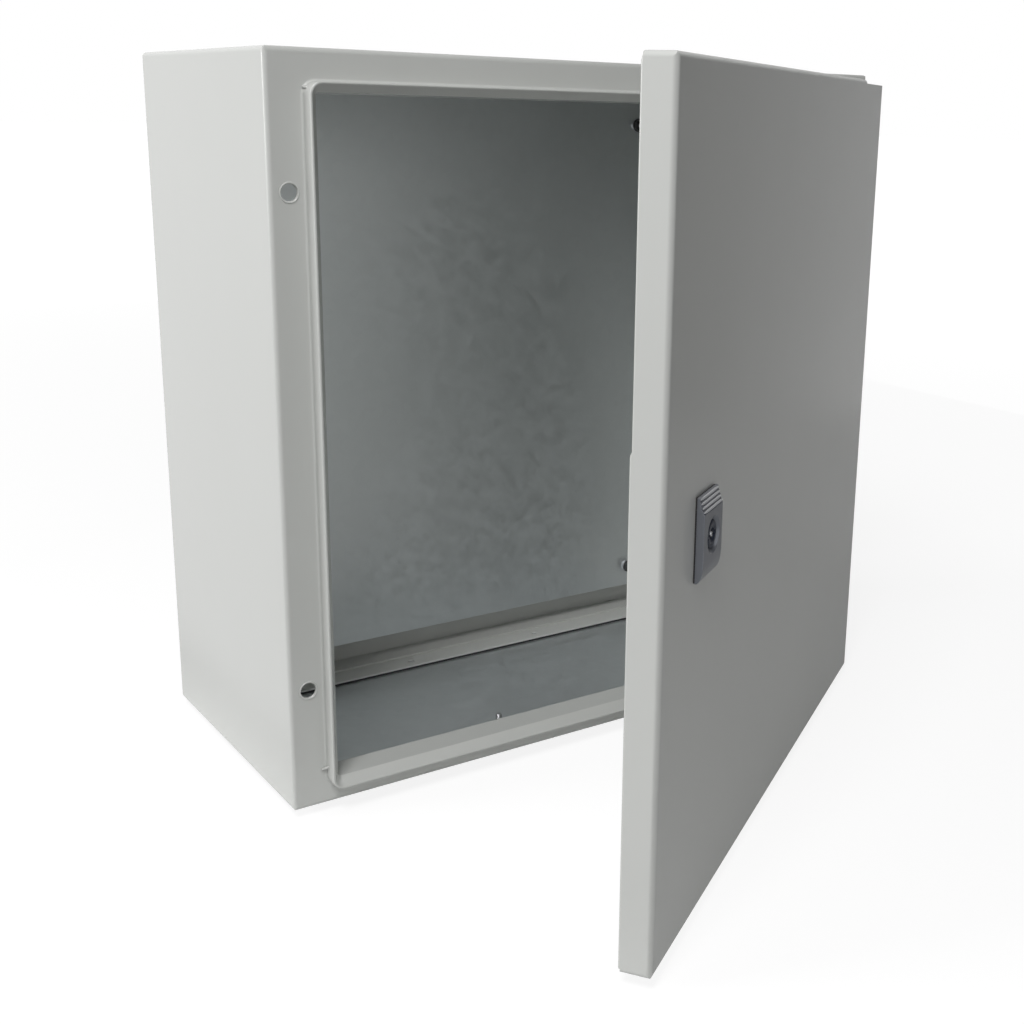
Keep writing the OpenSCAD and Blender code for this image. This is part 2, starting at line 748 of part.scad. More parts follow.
module lock_insert() {
    socket_d = 7;
    socket_depth = 8;
    color([0.15, 0.16, 0.2]) at_lock() {
        difference() {
            translate([0, 0, -barrel_end + 3 + run_gap])
                cylinder(d = insert_d, h = barrel_end - 3 - run_gap + insert_face);
            // key socket: a round well with two wing slots
            translate([0, 0, insert_face - socket_depth]) {
                cylinder(d = socket_d, h = socket_depth + eps);
                translate([-1.3, -5.5, 0]) cube([2.6, 11, socket_depth + eps]);
            }
        }
        // centre post of the key socket
        translate([0, 0, insert_face - socket_depth - 1]) cylinder(d = 3, h = socket_depth + 0.5);
        // neck and square that carry the cam
        translate([0, 0, -cam_hub]) cylinder(d = 10, h = cam_hub - barrel_end + 4);
        translate([-cam_square / 2, -cam_square / 2, -cam_hub - cam_t])
            cube([cam_square, cam_square, cam_t + eps]);
    }
}

// Cranked cam, pointing down: hub on the square, a step inward, then the tongue
module lock_cam() {
    hole = cam_square + 2 * nut_gap;
    color("silver") at_lock() difference() {
        union() {
            translate([0, 0, -cam_hub - cam_t]) cylinder(d = cam_w, h = cam_t);
            translate([-cam_w / 2, -cam_crank + cam_t, -cam_hub - cam_t]) cube([cam_w, cam_crank - cam_t, cam_t]);
            translate([-cam_w / 2, -cam_crank, -cam_tongue - cam_t])
                cube([cam_w, cam_t, cam_tongue - cam_hub + cam_t]);
            translate([-cam_w / 2, -cam_reach + cam_w / 2, -cam_tongue - cam_t])
                cube([cam_w, cam_reach - cam_w / 2 - cam_crank + eps, cam_t]);
            translate([0, -cam_reach + cam_w / 2, -cam_tongue - cam_t]) cylinder(d = cam_w, h = cam_t);
        }
        translate([-hole / 2, -hole / 2, -cam_hub - cam_t - eps]) cube([hole, hole, cam_t + 2 * eps]);
    }
}

module cam_screw() {
    color("silver") at_lock() translate([0, 0, -cam_hub - cam_t]) difference() {
        union() {
            translate([0, 0, -1]) cylinder(d = cam_washer_d, h = 1);
            translate([0, 0, -4]) cylinder(d = 9, h = 3 + 0.1);
        }
        translate([0, 0, -4 - eps]) cylinder(d = 4.6, h = 2 + eps, $fn = 6);
    }
}

body_wrapper();
back_panel();
mounting_plate();
plate_studs();
plate_washers();
plate_nuts();
gland_plate();
gland_gasket();
gland_screws();
body_earth_stud();
body_earth_nut();
upper_hinge_bracket();
lower_hinge_bracket();
hinge_bracket_screws();
door_panel();
door_gasket();
upper_hinge_leaf();
lower_hinge_leaf();
upper_hinge_pin();
lower_hinge_pin();
hinge_leaf_nuts();
door_earth_stud();
door_earth_nut();
lock_housing();
lock_seal();
lock_nut();
lock_insert();
lock_cam();
cam_screw();
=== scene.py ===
# %% [markdown]
# # Steel wall enclosure: looks
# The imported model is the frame. Its sheet-metal pieces keep their shapes and get painted, galvanised
# and plated finishes. The threads, nuts, gasket, key cap, key post, ribs, rims and weld beads are new
# surfaces, each a formula on a grid of points. Places and sizes are read from the frame, or written
# in metres where the frame doesn't hold them.

# %% The frame
import json
import math

import bmesh
import bpy
import numpy as np
from mathutils import Matrix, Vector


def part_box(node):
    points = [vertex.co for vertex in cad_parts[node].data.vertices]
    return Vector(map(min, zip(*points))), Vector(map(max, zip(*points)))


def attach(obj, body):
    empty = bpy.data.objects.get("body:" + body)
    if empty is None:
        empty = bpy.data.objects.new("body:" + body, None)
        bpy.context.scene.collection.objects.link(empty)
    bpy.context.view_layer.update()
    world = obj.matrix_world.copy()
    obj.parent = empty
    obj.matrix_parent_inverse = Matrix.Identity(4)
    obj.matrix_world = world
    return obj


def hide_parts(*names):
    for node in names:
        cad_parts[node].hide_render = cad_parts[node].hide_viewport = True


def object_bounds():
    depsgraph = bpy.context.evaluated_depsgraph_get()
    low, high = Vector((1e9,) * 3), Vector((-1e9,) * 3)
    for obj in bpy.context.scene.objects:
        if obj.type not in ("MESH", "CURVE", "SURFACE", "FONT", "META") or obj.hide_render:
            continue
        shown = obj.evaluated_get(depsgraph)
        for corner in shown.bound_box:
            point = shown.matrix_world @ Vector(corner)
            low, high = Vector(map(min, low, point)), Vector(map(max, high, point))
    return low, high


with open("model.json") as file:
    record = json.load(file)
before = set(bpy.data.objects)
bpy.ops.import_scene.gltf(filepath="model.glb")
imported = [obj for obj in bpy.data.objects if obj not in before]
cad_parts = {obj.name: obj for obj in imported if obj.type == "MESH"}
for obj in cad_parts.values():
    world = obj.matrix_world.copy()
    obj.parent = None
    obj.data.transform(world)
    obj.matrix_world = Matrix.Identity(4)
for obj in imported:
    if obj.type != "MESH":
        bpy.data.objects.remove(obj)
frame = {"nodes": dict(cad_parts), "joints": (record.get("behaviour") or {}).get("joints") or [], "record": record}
first_bounds = [list(v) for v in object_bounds()]
nodes = frame["nodes"]
MM = 0.001
print(len(nodes), "nodes, from", np.round(first_bounds[0], 4), "to", np.round(first_bounds[1], 4))

# %% [markdown]
# ## Places read from the frame
# The door of the real enclosure hangs on two pins, and here it stands open. Pieces on the door could
# be placed in the open position, along a slanting face. It is simpler to work them out on the closed
# door, whose face is square to the frame, and then turn them open about the hinge line. The lower
# limit of the hinge joint is the closed door.

# %% The door's hinge and the lock's axis
door_joint = next(j for j in frame["joints"] if j["name"] == "door_hinge")
lock_joint = next(j for j in frame["joints"] if j["name"] == "lock_turn")
hinge = np.array(door_joint["pos_m"])
opened = -math.radians(door_joint["range_deg"][0])


def turned(points, angle):
    """Points turned about the door's hinge line: the usual plane rotation of x and y."""
    p = np.asarray(points, float) - hinge
    c, s = math.cos(angle), math.sin(angle)
    x = c * p[..., 0] - s * p[..., 1]
    y = s * p[..., 0] + c * p[..., 1]
    return np.stack([x, y, p[..., 2]], axis=-1) + hinge


def node_points(name):
    """All the corner points of a CAD node."""
    mesh = nodes[name].data
    flat = np.empty(3 * len(mesh.vertices))
    mesh.vertices.foreach_get("co", flat)
    return flat.reshape(-1, 3)


def closed_box(name):
    """Lowest and highest corner of a door node's box while the door is closed."""
    points = turned(node_points(name), -opened)
    return points.min(axis=0), points.max(axis=0)


def rest_box(name):
    """Lowest and highest corner of a node's box, as arrays."""
    low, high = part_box(name)
    return np.array(low), np.array(high)


lock_centre = turned(np.array(lock_joint["pos_m"]), -opened)
print("door open", round(math.degrees(opened), 1), "degrees; lock at", np.round(lock_centre, 4))

# %% [markdown]
# ## Surfaces from grids
# A stud, a nut or a bead of foam is a profile that runs round an axis or along a path. It could be
# put together from primitives and modifiers, but a grid of points P[i, j] joined by four-sided faces
# follows the formula exactly and stays light. A direction that comes back to its start is joined
# there. Rows that shrink to one point close an end like the pole of a globe.

# %% Grid to mesh
same_point = 1e-6


def surface(name, grids, body, material, wrap=(False, True), replaces=()):
    """One object from one or more grids of points, each (rows, columns, 3).

    Faces join P[i, j], P[i+1, j], P[i+1, j+1] and P[i, j+1]; wrap joins the last row or column
    to the first. Points that coincide are merged, and the normals are turned outward."""
    points, faces, start = [], [], 0
    for grid in grids:
        rows, cols = grid.shape[:2]
        index = start + np.arange(rows * cols).reshape(rows, cols)
        if wrap[0]:
            index = np.vstack([index, index[:1]])
        if wrap[1]:
            index = np.hstack([index, index[:, :1]])
        quads = np.stack([index[:-1, :-1], index[1:, :-1], index[1:, 1:], index[:-1, 1:]], axis=-1)
        points.append(grid.reshape(-1, 3))
        faces.append(quads.reshape(-1, 4))
        start += rows * cols
    mesh = bpy.data.meshes.new(name)
    mesh.from_pydata(np.concatenate(points).tolist(), [], np.concatenate(faces).tolist())
    merged = bmesh.new()
    merged.from_mesh(mesh)
    bmesh.ops.remove_doubles(merged, verts=merged.verts, dist=same_point)
    bmesh.ops.recalc_face_normals(merged, faces=merged.faces)
    merged.to_mesh(mesh)
    merged.free()
    mesh.polygons.foreach_set("use_smooth", np.ones(len(mesh.polygons), bool))
    mesh.materials.append(material)
    obj = bpy.data.objects.new(name, mesh)
    bpy.context.scene.collection.objects.link(obj)
    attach(obj, body)
    if replaces:
        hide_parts(*replaces)
    print(name, len(mesh.polygons), "faces on", body)
    return obj


# %% Solids of revolution
mostly_upright = 0.9


def along(axis):
    """Two directions square to an axis, so that (a, b, axis) is right-handed."""
    axis = np.asarray(axis, float)
    helper = np.array([0.0, 0.0, 1.0]) if abs(axis[2]) < mostly_upright else np.array([1.0, 0.0, 0.0])
    a = np.cross(helper, axis)
    a /= np.linalg.norm(a)
    return a, np.cross(axis, a), axis


def full_turn(steps):
    """Angles once round, without the last one, which is the first again."""
    return np.linspace(0, 2 * math.pi, steps, endpoint=False)


def turned_solid(radius, height, base, axis, steps=48):
    """Grid of a solid of revolution: radius r and height h, at turn t, lies at
    base + r cos t a + r sin t b + h axis. radius may depend on the turn as well (rows, steps)."""
    a, b, n = along(axis)
    t = full_turn(steps)
    r = np.broadcast_to(np.asarray(radius, float).reshape(len(height), -1), (len(height), steps))
    h = np.asarray(height, float)[:, None]
    x = (r * np.cos(t))[..., None] * a
    y = (r * np.sin(t))[..., None] * b
    return np.asarray(base) + x + y + h[..., None] * n


print("grids join points closer than", same_point, "m")

# %% [markdown]
# ## Nodes by name
# A finish is a tree of small nodes. They could be wired by hand in the editor. Here short helpers
# make a node, set its values by name and link it, so that each effect reads like its formula.

# %% Node helpers
NUMBER, VECTOR = "NodeSocketFloat", "NodeSocketVector"


def new_group(name, inputs, outputs):
    """A shader node group with named sockets, and its in and out nodes."""
    group = bpy.data.node_groups.new(name, "ShaderNodeTree")
    for label, kind, value in inputs:
        socket = group.interface.new_socket(label, in_out="INPUT", socket_type=kind)
        socket.default_value = value
    for label, kind in outputs:
        group.interface.new_socket(label, in_out="OUTPUT", socket_type=kind)
    return group, group.nodes.new("NodeGroupInput"), group.nodes.new("NodeGroupOutput")


def add(tree, kind, **properties):
    """A node of a kind, with its properties set by name."""
    node = tree.nodes.new(kind)
    for key, value in properties.items():
        setattr(node, key, value)
    return node


def set_inputs(node, values):
    """Sets a node's sockets from a dictionary of labels and values."""
    for label, value in values.items():
        node.inputs[label].default_value = value


def object_place(tree):
    """Coordinates fixed to the object, in metres."""
    return add(tree, "ShaderNodeTexCoord").outputs["Object"]


def math_node(tree, operation, first, second):
    """A math node whose two inputs are sockets or numbers."""
    node = add(tree, "ShaderNodeMath", operation=operation)
    for socket, value in zip(node.inputs, (first, second)):
        if isinstance(value, (int, float)):
            socket.default_value = value
        else:
            tree.links.new(value, socket)
    return node.outputs[0]


def noise(tree, vector, scale, detail=2.0):
    """Noise from 0 to 1 at so many waves a metre."""
    node = add(tree, "ShaderNodeTexNoise")
    set_inputs(node, {"Scale": scale, "Detail": detail, "Roughness": 0.5})
    tree.links.new(vector, node.inputs["Vector"])
    return node.outputs["Fac"]


print("socket kinds:", NUMBER, VECTOR)

# %% [markdown]
# ## Orange peel
# Powder melts and levels in the oven but never lies quite flat: small soft waves break up the
# reflections. They could be modelled in the mesh, at the price of millions of faces. A height for
# the bump costs nothing. The group adds a fine wave of about 1.5 mm and a long one of about 12 mm,
# and gives a slow tone that the finishes use for patches.

# %% Orange peel
peel_waves = {"fine": 650.0, "long": 80.0, "tone": 5.0}


def make_orange_peel():
    """Height = Fine * fine noise + Long * long noise; Tone is slow noise."""
    group, given, out = new_group(
        "orange_peel",
        [("Fine", NUMBER, 1.0), ("Long", NUMBER, 1.0)],
        [("Height", NUMBER), ("Tone", NUMBER)],
    )
    place = object_place(group)
    fine = math_node(group, "MULTIPLY", noise(group, place, peel_waves["fine"]), given.outputs["Fine"])
    long_noise = noise(group, place, peel_waves["long"], detail=1.0)
    long_wave = math_node(group, "MULTIPLY", long_noise, given.outputs["Long"])
    group.links.new(math_node(group, "ADD", fine, long_wave), out.inputs["Height"])
    group.links.new(noise(group, place, peel_waves["tone"], detail=3.0), out.inputs["Tone"])
    return group


orange_peel = make_orange_peel()
print("group", orange_peel.name, "with", len(orange_peel.nodes), "nodes")

# %% [markdown]
# ## Edges
# Bent and stamped sheet has no sharp edge, and edges get a lighter colour: partly thin paint and
# handling, partly a painted highlight. Every edge could be bevelled in the mesh, but the imported
# pieces keep their meshes. The Bevel node rounds the normal in shading instead, and where the
# rounded normal and the true one part, there is an edge.

# %% Edge mask
edge_waves = 220.0


def make_edge_mask():
    """Mask = Amount * noise * (1 - rounded normal . true normal), held between 0 and 1."""
    group, given, out = new_group(
        "edge_mask",
        [("Radius", NUMBER, 0.0006), ("Amount", NUMBER, 1.0)],
        [("Mask", NUMBER), ("Normal", VECTOR)],
    )
    bevel = add(group, "ShaderNodeBevel", samples=6)
    group.links.new(given.outputs["Radius"], bevel.inputs["Radius"])
    geometry = add(group, "ShaderNodeNewGeometry")
    dot = add(group, "ShaderNodeVectorMath", operation="DOT_PRODUCT")
    group.links.new(bevel.outputs["Normal"], dot.inputs[0])
    group.links.new(geometry.outputs["Normal"], dot.inputs[1])
    apart = math_node(group, "SUBTRACT", 1.0, dot.outputs["Value"])
    broken = math_node(group, "MULTIPLY", apart, noise(group, object_place(group), edge_waves, detail=4.0))
    clamp = add(group, "ShaderNodeClamp")
    group.links.new(math_node(group, "MULTIPLY", broken, given.outputs["Amount"]), clamp.inputs["Value"])
    group.links.new(clamp.outputs[0], out.inputs["Mask"])
    group.links.new(bevel.outputs["Normal"], out.inputs["Normal"])
    return group


edge_mask = make_edge_mask()
print("group", edge_mask.name, "with", len(edge_mask.nodes), "nodes")

# %% [markdown]
# ## Dust
# Dust settles on what faces up and dulls it a little. It could be painted on by hand for each piece.
# The upward share of the normal finds those faces by itself, also when the door swings.

# %% Dust
dust_waves = 30.0


def make_dust():
    """Mask = Amount * noise * max(normal z, 0)."""
    group, given, out = new_group("dust", [("Amount", NUMBER, 0.1)], [("Mask", NUMBER)])
    geometry = add(group, "ShaderNodeNewGeometry")
    split = add(group, "ShaderNodeSeparateXYZ")
    group.links.new(geometry.outputs["Normal"], split.inputs[0])
    up = math_node(group, "MAXIMUM", split.outputs["Z"], 0.0)
    patches = math_node(group, "MULTIPLY", up, noise(group, object_place(group), dust_waves, detail=5.0))
    group.links.new(math_node(group, "MULTIPLY", patches, given.outputs["Amount"]), out.inputs["Mask"])
    return group


dust = make_dust()
print("group", dust.name, "with", len(dust.nodes), "nodes")

# %% [markdown]
# ## Finishes
# Paint, zinc and plastic differ in colour, gloss and relief, but they all vary a little from place
# to place, so no face is one flat tone. Each could have a tree of its own. One function that builds
# a Principled surface from two close colours, a range of roughness and a bump keeps them alike and
# short.

# %% Mixes
def use_group(tree, group, values):
    """A group node with its inputs set."""
    node = tree.nodes.new("ShaderNodeGroup")
    node.node_tree = group
    set_inputs(node, values)
    return node


def mix_colour(tree, factor, first, second):
    """A colour mix; first and second are colours or sockets."""
    node = add(tree, "ShaderNodeMix", data_type="RGBA")
    tree.links.new(factor, node.inputs[0])
    for socket, value in zip((node.inputs[6], node.inputs[7]), (first, second)):
        if isinstance(value, tuple):
            socket.default_value = (*value, 1.0)
        else:
            tree.links.new(value, socket)
    return node.outputs[2]


def mix_number(tree, factor, low, high):
    """A number that goes from low to high with the factor."""
    node = add(tree, "ShaderNodeMapRange")
    set_inputs(node, {"To Min": low, "To Max": high})
    tree.links.new(factor, node.inputs["Value"])
    return node.outputs[0]


def new_material(name):
    """A material with the usual surface shader."""
    material = bpy.data.materials.new(name)
    material.use_nodes = True
    return material


def inside(material):
    """The node tree and the surface shader of a material."""
    return material.node_tree, material.node_tree.nodes["Principled BSDF"]


print("mixes ready")


# %% The common finish
dust_colour = (0.62, 0.60, 0.56)
edge_amount = 1.2


def finish(name, dark, light, rough, bump_mm, fine, long_wave, edge, edge_wear_and_highlight_colour, metallic=0.0, dusty=0.05):
    """A material: two tones, a range of roughness, relief of bump_mm, and lighter edges that are partly wear and
    partly a painted highlight.
    """
    material = new_material(name)
    tree, shader = inside(material)
    peel = use_group(tree, orange_peel, {"Fine": fine, "Long": long_wave})
    edges = use_group(tree, edge_mask, {"Radius": edge, "Amount": edge_amount})
    settled = use_group(tree, dust, {"Amount": dusty})
    base = mix_colour(tree, peel.outputs["Tone"], dark, light)
    # edges lighter: partly thin paint and handling, partly a painted highlight
    worn_and_highlit = mix_colour(tree, edges.outputs["Mask"], base, edge_wear_and_highlight_colour)
    dusted = mix_colour(tree, settled.outputs["Mask"], worn_and_highlit, dust_colour)
    tree.links.new(dusted, shader.inputs["Base Color"])
    tree.links.new(mix_number(tree, peel.outputs["Tone"], *rough), shader.inputs["Roughness"])
    shader.inputs["Metallic"].default_value = metallic
    bump = add(tree, "ShaderNodeBump")
    set_inputs(bump, {"Strength": 1.0, "Distance": bump_mm * MM})
    tree.links.new(peel.outputs["Height"], bump.inputs["Height"])
    tree.links.new(edges.outputs["Normal"], bump.inputs["Normal"])
    tree.links.new(bump.outputs["Normal"], shader.inputs["Normal"])
    return material


print("dust is", dust_colour)

# %% [markdown]
# ### Powder coat
# The body and the door are steel sheet under a light grey, semi-gloss powder coat, the same inside
# and out. A clear coat over a base could give the gloss too; one layer of low roughness is enough,
# because the pigment and the binder are one layer on the real thing.

# %% Paint
paint = finish(
    "powder_coat", dark=(0.60, 0.61, 0.59), light=(0.64, 0.65, 0.63), rough=(0.20, 0.27),
    bump_mm=0.012, fine=0.5, long_wave=1.0, edge=0.0007, edge_wear_and_highlight_colour=(0.72, 0.73, 0.71),
)
print("made", paint.name)

# %% [markdown]
# ### Galvanised sheet
# The mounting plate and the gland plate are bare galvanised sheet. Zinc freezes into a spangle of
# crystals a few millimetres wide. A scratched noise could stand for it, but each cell of a Voronoi
# pattern is one crystal, with its own slightly different tone and roughness.

# %% Galvanised sheet
galvanised = finish(
    "galvanised", dark=(0.66, 0.69, 0.70), light=(0.70, 0.73, 0.74), rough=(0.36, 0.44),
    bump_mm=0.004, fine=0.4, long_wave=0.6, edge=0.0003, edge_wear_and_highlight_colour=(0.78, 0.8, 0.81),
    metallic=0.85, dusty=0.02,
)
tree, shader = inside(galvanised)
crystals_per_metre = 140.0
crystal_rough = (0.34, 0.46)
crystal_lift = 0.16
crystal_colour = (0.76, 0.79, 0.80)
cells = add(tree, "ShaderNodeTexVoronoi")
cells.inputs["Scale"].default_value = crystals_per_metre
tree.links.new(object_place(tree), cells.inputs["Vector"])
crystal = add(tree, "ShaderNodeSeparateColor")
tree.links.new(cells.outputs["Color"], crystal.inputs[0])
tree.links.new(mix_number(tree, crystal.outputs[0], *crystal_rough), shader.inputs["Roughness"])
plain_colour = shader.inputs["Base Color"].links[0].from_socket
lifted = mix_number(tree, crystal.outputs[1], 0.0, crystal_lift)
tree.links.new(mix_colour(tree, lifted, plain_colour, crystal_colour), shader.inputs["Base Color"])
print("made", galvanised.name, "with", crystals_per_metre, "crystals a metre")

# %% [markdown]
# ### Plated, black and die-cast metal
# Plated fasteners are bright and smooth, and the plate's nuts are blackened steel. The hinges and
# the lock housing are die-cast zinc with a fine matt skin, and the lock's ribs get a much lighter copy
# of it, a painted highlight. All four use the common finish, because only their numbers differ.

# %% Metals
zinc = finish(
    "zinc_plated", dark=(0.52, 0.53, 0.55), light=(0.62, 0.63, 0.65), rough=(0.22, 0.34),
    bump_mm=0.004, fine=0.6, long_wave=0.3, edge=0.0003, edge_wear_and_highlight_colour=(0.8, 0.8, 0.82), metallic=0.9,
)
black_steel = finish(
    "black_steel", dark=(0.025, 0.026, 0.028), light=(0.04, 0.041, 0.043), rough=(0.35, 0.45),
    bump_mm=0.006, fine=0.7, long_wave=0.3, edge=0.0003, edge_wear_and_highlight_colour=(0.12, 0.12, 0.13), metallic=0.3,
)
diecast = finish(
    "diecast", dark=(0.17, 0.18, 0.205), light=(0.21, 0.22, 0.245), rough=(0.28, 0.36),
    bump_mm=0.01, fine=0.9, long_wave=0.4, edge=0.0004, edge_wear_and_highlight_colour=(0.7, 0.72, 0.76), metallic=0.4,
)
# the ribs' finish is a much lighter copy of the die-cast: a painted highlight
rib_highlight_finish = finish(
    "diecast_painted_highlight", dark=(0.68, 0.69, 0.71), light=(0.76, 0.77, 0.79), rough=(0.25, 0.33),
    bump_mm=0.006, fine=0.7, long_wave=0.4, edge=0.0003, edge_wear_and_highlight_colour=(0.9, 0.91, 0.92), metallic=0.4,
)
print("made", ", ".join(m.name for m in (zinc, black_steel, diecast, rib_highlight_finish)))

# %% [markdown]
# ### Key insert and gasket
# The key insert is satin and almost black; a low specular level keeps it from turning pale where
# it is seen at a flat angle. The gasket is matt foamed polyurethane, dark right through.

# %% Insert and foam
insert_finish = finish(
    "key_insert", dark=(0.012, 0.017, 0.034), light=(0.02, 0.027, 0.048), rough=(0.3, 0.4),
    bump_mm=0.003, fine=0.4, long_wave=0.2, edge=0.0003, edge_wear_and_highlight_colour=(0.08, 0.09, 0.12), dusty=0.0,
)
_, insert_shader = inside(insert_finish)
insert_shader.inputs["Specular IOR Level"].default_value = 0.2
foam = finish(
    "gasket_foam", dark=(0.022, 0.022, 0.024), light=(0.034, 0.034, 0.036), rough=(0.75, 0.9),
    bump_mm=0.05, fine=1.6, long_wave=0.8, edge=0.0008, edge_wear_and_highlight_colour=(0.05, 0.05, 0.05), dusty=0.02,
)
print("made", insert_finish.name, "and", foam.name)

# %% [markdown]
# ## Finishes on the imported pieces
# The record says which material slot each sub-part has, so no list of pieces is needed here.

# %% Materials by slot
by_slot = {
    "paint": paint, "galvanised": galvanised, "zinc": zinc, "black_steel": black_steel,
    "diecast": diecast, "insert": insert_finish, "gasket": foam,
}
for part in frame["record"]["subparts"]:
    mesh = nodes[part["node"]].data
    mesh.materials.clear()
    mesh.materials.append(by_slot[part["material_slot"]])

# %% [markdown]
# ## Threads
# A rolled thread is a screw-shaped groove. It could be a helix swept by the Screw modifier. It is
# simpler to take a cylinder whose radius follows a saw of the height less the turn, so that one turn
# raises the groove by one pitch: the ends then close by themselves, and the tip can be chamfered in
# the same formula.

# %% Thread profile
rings_per_pitch = 10
thread_depth = 0.55
tip_slope = 0.6


def thread_profile(sections, pitch, steps=48):
    """Radius (rows, steps) and height of a stepped stud. sections: (from, to, radius, threaded).

    On a threaded section the radius is r - depth * |2 frac(h / pitch - t / 2 pi) - 1|, and the last
    pitch tapers to a chamfer."""
    t = full_turn(steps)
    top = max(s[1] for s in sections)
    radii, heights = [np.zeros((1, steps))], [[sections[0][0]]]
    for low, high, r, threaded in sections:
        count = max(2, int((high - low) / pitch * rings_per_pitch)) if threaded else 2
        h = np.linspace(low, high, count)[:, None]
        radius = np.full((count, steps), r)
        if threaded:
            saw = abs(2 * np.mod(h / pitch - t / (2 * math.pi), 1.0) - 1)
            tip = r - tip_slope * np.maximum(0.0, h - top + pitch)
            radius = np.minimum(r - thread_depth * pitch * saw, tip)
        radii.append(radius)
        heights.append(h[:, 0])
    radii.append(np.zeros((1, steps)))
    heights.append([top])
    return np.concatenate(radii), np.concatenate(heights)


def stud_grid(base, axis, sections, pitch):
    """Grid of one threaded stud standing on base."""
    radii, heights = thread_profile(sections, pitch)
    return turned_solid(radii, heights, base, axis)


print("thread depth", thread_depth, "of the pitch")

# %% [markdown]
# ## Earth studs
# An M5 stud with a low round foot is welded to the floor and another to the door, for the earth
# leads. Both use one profile. The door's one is made on the closed door and turned open with it.

# %% Earth studs
earth_pitch = 0.8 * MM
earth_r = 2.5 * MM
foot_r = 4 * MM
foot_h = 1 * MM


def earth_stud(base, axis, tall):
    """Grid of an earth stud: a foot, then the thread up to the tip."""
    sections = [(0.0, foot_h, foot_r, False), (foot_h, tall, earth_r, True)]
    return stud_grid(base, axis, sections, earth_pitch)


low, high = rest_box("body_earth_stud")
middle = (low + high) / 2
floor_stud = earth_stud((middle[0], middle[1], low[2]), (0, 0, 1), high[2] - low[2])
surface("body_earth_thread", [floor_stud], "enclosure", zinc, replaces=["body_earth_stud"])

low, high = closed_box("door_earth_stud")
middle = (low + high) / 2
door_stud = earth_stud((middle[0], low[1], middle[2]), (0, 1, 0), high[1] - low[1])
door_stud = turned(door_stud, opened)
surface("door_earth_thread", [door_stud], "door", zinc, replaces=["door_earth_stud"])

# %% [markdown]
# ## The mounting plate's studs
# Each stud has a wide shoulder that carries the plate and a threaded M6 end for the nut. It is the
# same stepped profile as an earth stud, four times.

# %% Plate studs
plate_pitch = 1 * MM
plate_stud_r = 3 * MM
shoulder_r = 6 * MM
low, high = rest_box("plate_studs")
stud_x = (low[0] + shoulder_r, high[0] - shoulder_r)
stud_z = (low[2] + shoulder_r, high[2] - shoulder_r)
stud_spots = [(x, z) for x in stud_x for z in stud_z]
shoulder_h = high[1] - rest_box("mounting_plate")[1][1]
stud_sections = [(0.0, shoulder_h, shoulder_r, False), (shoulder_h, high[1] - low[1], plate_stud_r, True)]
plate_threads = [stud_grid((x, high[1], z), (0, -1, 0), stud_sections, plate_pitch) for x, z in stud_spots]
surface("plate_stud_threads", plate_threads, "enclosure", zinc, replaces=["plate_studs"])

# %% [markdown]
# ## Flange nuts
# The nuts that hold the plate are hexagons over a round flange, and a cone cuts their corners at
# the top. A cylinder with six sides, bevelled, would come near. One turned profile whose radius
# follows the hexagon gives the curved cuts that a real nut has.

# %% Flange nuts
nut_across = 10 * MM
nut_hole = 6.2 * MM
nut_flange_r = 5.7 * MM
nut_steps = 72
hole_chamfer = 0.3 * MM
# shares of the nut's height: top of the flange, foot of the flats, foot of the cone
flange_top, flats_foot, cone_from = 0.12, 0.22, 0.8
cone_slope = 0.7


def rows_solid(rows, base, axis, steps):
    """Grid of a solid of revolution from rows of (radius, height); a radius is one number or one
    for each step of the turn."""
    radius = np.array([np.broadcast_to(r, steps) for r, _ in rows])
    return turned_solid(radius, np.array([h for _, h in rows]), base, axis, steps)


def nut_grid(base, axis, height):
    """Closed ring of a flange nut: out along the foot, up the outside, over the top, down the hole.

    At turn t the hexagon's radius is (across / 2) / cos(t - nearest flat). Above cone_from of the
    height it is held under a cone that starts at the corners."""
    sixth = math.pi / 3
    t = full_turn(nut_steps)
    hexagon = nut_across / 2 / np.cos(np.mod(t + sixth / 2, sixth) - sixth / 2)
    corner = nut_across / 2 / math.cos(sixth / 2)
    rows = [(nut_hole / 2, 0.0), (nut_flange_r, 0.0), (nut_flange_r, flange_top * height)]
    rows.append((np.minimum(hexagon, nut_flange_r), flats_foot * height))
    rows += [(hexagon, share * height) for share in np.linspace(0.3, cone_from, 4)]
    for share in (0.9, 1.0):
        cone = corner - (share - cone_from) * height * cone_slope
        rows.append((np.minimum(hexagon, cone), share * height))
    rows.append((nut_hole / 2 + hole_chamfer, height))
    rows.append((nut_hole / 2, height - hole_chamfer))
    return rows_solid(rows, base, axis, nut_steps)


low, high = rest_box("plate_nuts")
nuts = [nut_grid((x, high[1], z), (0, -1, 0), high[1] - low[1]) for x, z in stud_spots]
surface(
    "plate_flange_nuts", nuts, "enclosure", black_steel,
    wrap=(True, True), replaces=["plate_nuts"],
)

# %% [markdown]
# ## The door's gasket
# The polyurethane is foamed on the door in one closed bead that follows the rain lip. Its section
# is a low dome with rounded shoulders. A curve with a bevel could carry it; as a grid, the section is
# drawn along a rectangle with round corners, and the ring closes without a seam.

# %% Gasket path
def round_rectangle(low, high, r, steps=14):
    """Points and outward directions round a rectangle with round corners, in x and z.

    Corner k, counted from the first quarter, covers the angles k pi / 2 to (k + 1) pi / 2."""
    left, right = low[0] + r, high[0] - r
    bottom, top = low[1] + r, high[1] - r
    centres = np.array([(right, top), (left, top), (left, bottom), (right, bottom)])
    angle = np.linspace(0, math.pi / 2, steps) + np.arange(4)[:, None] * math.pi / 2
    outward = np.stack([np.cos(angle), np.sin(angle)], axis=-1)
    points = centres[:, None] + r * outward
    return points.reshape(-1, 2), outward.reshape(-1, 2)


